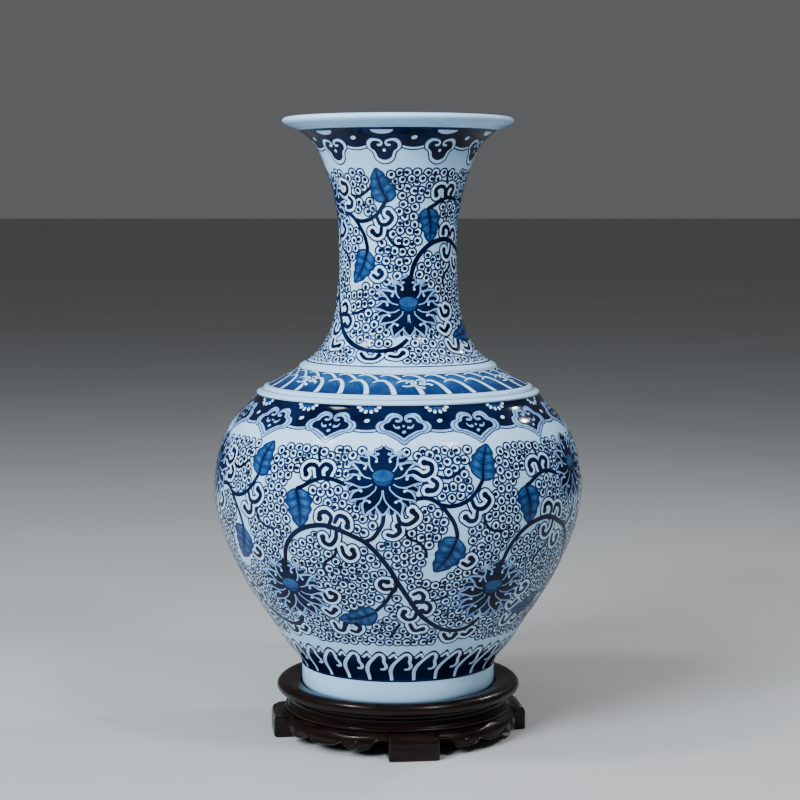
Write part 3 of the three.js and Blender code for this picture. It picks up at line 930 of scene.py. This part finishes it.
def vase_body():
    """The glazed skin: underside, foot ring, outside, lip, inside and floor."""
    foot, base, floor = 35.6, 44.0, 57.0
    r = LINE_R[0]
    under = [(0.001, base), (20, base), (40, base), (59, base), (61.4, base - 0.8), (62, base - 3),
             (62.8, foot + 1), (63.6, foot + 0.1), (65, foot), (69.4, foot), (71, foot + 0.7),
             (r - 0.5, foot + 2.4), (r, foot + 5), (r, 46), (r, FOOT_LINE_Z - 1)]
    coarse, fine, near = 1.7, 0.4, 4
    s = [np.arange(run_to(z) - near, run_to(z) + near, fine) for _, z, _ in RINGS]
    s = np.concatenate([np.arange(0, LINE_S[-1], coarse), *s, [LINE_S[-1]]])
    s = np.unique(np.round(s, 2))
    outside = joined(radius_at(s), np.interp(s, LINE_S, LINE_Z))
    lip = spline([tuple(outside[-1]), (79.5, 451.2), (83.8, 453.2), (85.3, 455.4), (84, 457.3),
                  (81.2, 458), (77.5, 457.2), (72, 453.9), (66.5, 449.2)], 6)[1:]
    smooth = spline(BODY_LINE, 8)
    slope = np.gradient(smooth[:, 0]) / np.gradient(smooth[:, 1])
    inner_r = smooth[:, 0] - WALL * np.hypot(1, slope)
    height = np.linspace(446, floor + 11, 80)
    inside = joined(np.interp(height, smooth[:, 1], inner_r), height)
    bottom = [(62, floor + 2), (46, floor), (23, floor - 0.2), (0.001, floor - 0.2)]
    profile = np.vstack([under, outside, lip, inside, bottom])
    return turned("vase_glazed_body", profile, VASE_FACES, GLAZE)


vase = vase_body()
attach(vase, "vase")
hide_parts("vase_lower_section", "vase_upper_section", "vase_neck_section")

paint_vase()
for (zone, colour), gathered in sorted(SKINS.items()):
    piece = gathered.build(f"painting_{zone}_{colour}", MATERIALS[colour])
    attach(piece, "vase")

# ---- the stand

GAP = 0.3
LEGS = 4
FIRST_LEG = math.radians(7.2)
LEG_PITCH = TAU / LEGS
STAND_TOP = 40.2
RECESS_RADIUS = 73.6
RING_BASE = 26.3
WAIST_BASE = 18.5
LEG_OUTER, LEG_INNER, LEG_HALF = 95.0, 68.0, 18.4
APRON_OUTER, APRON_MIDDLE, APRON_INNER = 90.0, 89.6, 79.0
APRON_REACH = APRON_OUTER * math.sin(math.pi / LEGS)
SHARP_EDGE = math.radians(38)


def crisp(ob):
    ob.data.set_sharp_from_angle(angle=SHARP_EDGE)
    return ob


def lofted(name, levels, mat):
    """A solid skinned over closed loops of places and closed at both ends."""
    levels = np.asarray(levels, float)
    ends = [ring.mean(0) + (ring - ring.mean(0)) * 0.001 for ring in (levels[0], levels[-1])]
    levels = np.concatenate([ends[0][None], levels, ends[1][None]])
    quads = grid_quads(len(levels), levels.shape[1], wrap=True)
    return crisp(make_mesh(name, levels.reshape(-1, 3), quads, mat))


def seat_ring():
    """Roll moulding round the recess that takes the vase's foot, with a step above the waist."""
    seat, hole, ledge = 35.3, 60.3, 29.5
    neck = spline([(81, RING_BASE), (80.5, 27.6), (80.7, 29), (81.8, 30.4)], 4)
    roll = spline([(84.2, 30.6), (87.6, 30.9), (90.2, 32.6), (91.2, 35), (90.6, 37.4),
                   (88.3, 39.4), (84.6, STAND_TOP), (80, 39.6), (75.4, 38.4)], 7)
    inner = [(74.1, 38), (RECESS_RADIUS, 37), (RECESS_RADIUS, seat),
             (hole, seat), (hole, ledge), (56, ledge), (56, RING_BASE)]
    return crisp(turned("stand_ring_carved", np.vstack([neck, roll, inner]), STAND_FACES, LACQUER))


def seat_panel():
    top, base = 35.3, 29.8
    line = [(0.001, base), (30, base), (60, base), (60, top - 0.6), (59.4, top), (30, top),
            (0.001, top)]
    return crisp(turned("stand_panel_turned", line, 96, LACQUER))


def waist_ring():
    """Flared neck of the stand above a fine bead."""
    top, bead, level = RING_BASE - GAP, 1.25, WAIST_BASE + 1.25
    lean = np.linspace(-math.pi / 2, math.pi / 2, 9)
    roll = joined(84 + bead * np.cos(lean), level + bead * np.sin(lean))
    neck = spline([(83.6, level + bead + 0.1), (82.9, 22.2), (81.7, 23.8), (81.1, 25),
                   (81, top)], 5)
    line = np.vstack([[(72, WAIST_BASE)], roll, neck, [(72, top)]])
    return crisp(turned("stand_waist_beaded", line, STAND_FACES, LACQUER))


def smooth_step(x):
    x = np.clip(x, 0, 1)
    return x * x * (3 - 2 * x)


# Lower edge of an apron from its middle outwards: (share of the reach, height).
APRON_EDGE = spline([(0, 6.2), (0.13, 6.7), (0.25, 9.4), (0.32, 6.6), (0.42, 5.1), (0.52, 5.4),
                     (0.6, 8), (0.64, 11.6), (0.7, 13.1), (0.78, 13.2)], 8)
APRON_FACE = spline([(88.8, 4), (89.9, 8), (89.5, 12.5), (87.5, 15.8), (84.4, WAIST_BASE - GAP)], 8)


def cloud_line(turns):
    """Height of the carved ridge: three hanging swags to a leg, one of them over the leg."""
    return 15.2 + 3.2 * np.abs(2 * np.mod(3 * turns + 0.5, 1) - 1) ** 2.4


def apron(index):
    """A carved apron: a tongue between two scrolls, under a raised cloud line."""
    middle = FIRST_LEG + (index + 0.5) * LEG_PITCH
    reach = LEG_PITCH / 2 - math.asin((LEG_HALF + GAP) / APRON_MIDDLE)
    levels = []
    for u in np.linspace(-1, 1, 121):
        x = APRON_MIDDLE * math.sin(u * reach)
        low = np.interp(abs(x) / APRON_REACH, *APRON_EDGE.T)
        z = np.linspace(low, WAIST_BASE - GAP, 30)
        r = np.interp(z, APRON_FACE[:, 1], APRON_FACE[:, 0])
        ridge = cloud_line(u * reach / LEG_PITCH + 0.5)
        r = r - 1.0 + smooth_step((ridge - z) / 1.1) * smooth_step((z - low) / 0.8)
        r = r + np.exp(-((z - ridge) / 0.6) ** 2) + 0.7 * np.exp(-((z - low - 1.1) / 0.5) ** 2)
        ring = np.hypot(abs(x) - 0.44 * APRON_REACH, z - 9.4)
        r = r + 0.9 * np.exp(-((ring - 2.3) / 0.5) ** 2) + 0.8 * np.exp(-(ring / 0.9) ** 2)
        back = np.array([(APRON_INNER, WAIST_BASE - GAP), (APRON_INNER, (low + WAIST_BASE) / 2),
                         (APRON_INNER, low)])
        r, z = np.vstack([joined(r, z), back]).T
        theta = middle + u * (LEG_PITCH / 2 - np.arcsin((LEG_HALF + GAP) / r))
        levels.append(joined(r * np.sin(theta), -r * np.cos(theta), z))
    return lofted(f"stand_apron_carved_{index + 1}", levels, LACQUER)


def leg(index):
    """A block leg with a rounded shoulder, a raised tongue under the cloud line and a plinth."""
    theta = FIRST_LEG + index * LEG_PITCH
    top = WAIST_BASE - GAP
    heights = np.concatenate([np.linspace(0, 1, 4), np.linspace(1.3, 11, 36)[:-1],
                              np.linspace(11, top, 34)])
    corner, shoulder, set_back = 2.2, 6.6, 5.9
    turn = np.linspace(0, math.pi / 2, 7)
    levels = []
    for z in heights:
        drop = max(0.0, (z - (top - shoulder)) / shoulder)
        worn = max(0, 1 - z)
        outer = LEG_OUTER - set_back * (1 - math.sqrt(max(0.0, 1 - drop ** 2))) - 0.9 * worn
        half = LEG_HALF - 0.3 * worn
        groove = 0.6 * math.exp(-((z - 9.2) / 0.45) ** 2)
        x = np.linspace(-half + corner, half - corner, 41)
        ridge = cloud_line(np.arcsin(x / LEG_OUTER) / LEG_PITCH)
        face = outer - 0.7 + 0.7 * smooth_step(ridge - z) + 0.9 * np.exp(-((z - ridge) / 0.6) ** 2)
        face = face - groove - 0.25 * (x / half) ** 2
        right = joined(half - corner + corner * np.sin(turn[1:]),
                       face[-1] - corner * (1 - np.cos(turn[1:])))
        left = right[::-1] * (-1, 1)
        back = [(half, LEG_INNER), (0, LEG_INNER), (-half, LEG_INNER)]
        side, out = np.vstack([left[:-1], joined(x, face), right, back, left[:1]]).T
        px = side * math.cos(theta) + out * math.sin(theta)
        py = side * math.sin(theta) - out * math.cos(theta)
        levels.append(joined(px, py, np.full(len(side), z)))
    return lofted(f"stand_leg_carved_{index + 1}", levels, LACQUER)


def place_stand_piece(ob, node):
    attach(ob, "stand")
    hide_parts(node)


place_stand_piece(seat_ring(), "stand_seat_ring")
place_stand_piece(seat_panel(), "stand_seat_panel")
place_stand_piece(waist_ring(), "stand_waist_ring")
for index in range(LEGS):
    place_stand_piece(apron(index), f"stand_apron_{index + 1}")
    place_stand_piece(leg(index), f"stand_leg_{index + 1}")
for name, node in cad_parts.items():
    if name.startswith("stand_dowel"):
        node.data.materials.clear()
        node.data.materials.append(DOWEL_WOOD)

# ---- floor, light, camera

FLOOR_HALF = 60000.0
corners = [(x * FLOOR_HALF, y * FLOOR_HALF, 0) for x, y in ((-1, -1), (1, -1), (1, 1), (-1, 1))]
floor = make_mesh("floor", corners, np.array([[0, 1, 2, 3]]), floor_material())

COOL = (0.82, 0.94, 1.0)


def area_light(name, place, aim_height, size, power, soft=False):
    """A square light aimed at the vase's axis; a soft one is cool and gives no glint."""
    data = bpy.data.lights.new(name, "AREA")
    data.size = size
    data.energy = power
    data.color = COOL if soft else (1, 1, 1)
    ob = bpy.data.objects.new(name, data)
    scene.collection.objects.link(ob)
    ob.location = place
    aim = Vector((0, 0, aim_height)) - Vector(place)
    ob.rotation_euler = aim.to_track_quat("-Z", "Y").to_euler()
    ob.visible_glossy = not soft


area_light("key", (-1.2, -1.7, 1.4), 0.25, 0.9, 104, soft=True)
area_light("top", (-0.2, -0.5, 1.9), 0.25, 1.0, 8, soft=True)
area_light("spark", (0.9, 0.6, 1.0), 0.25, 0.05, 5.5)
area_light("ring_left", (-0.79, -0.43, 1.27), 0.03, 0.2, 9.0)
area_light("ring_right", (0.64, -0.67, 1.27), 0.03, 0.2, 9.0)

world = bpy.data.worlds.new("studio")
scene.world = world
world.use_nodes = True
background = world.node_tree.nodes["Background"].inputs
background["Color"].default_value = (0.75, 0.78, 0.8, 1)
background["Strength"].default_value = 0.15

LOOKS_DOWN, LOOKS_RIGHT = math.radians(5.65), math.radians(0.058)
camera_data = bpy.data.cameras.new("camera")
camera_data.lens = 88.3
camera = bpy.data.objects.new("camera", camera_data)
scene.collection.objects.link(camera)
camera.location = (0, -1.4565, 0.3933)
camera.rotation_euler = Euler((math.pi / 2 - LOOKS_DOWN, 0, -LOOKS_RIGHT))
scene.camera = camera
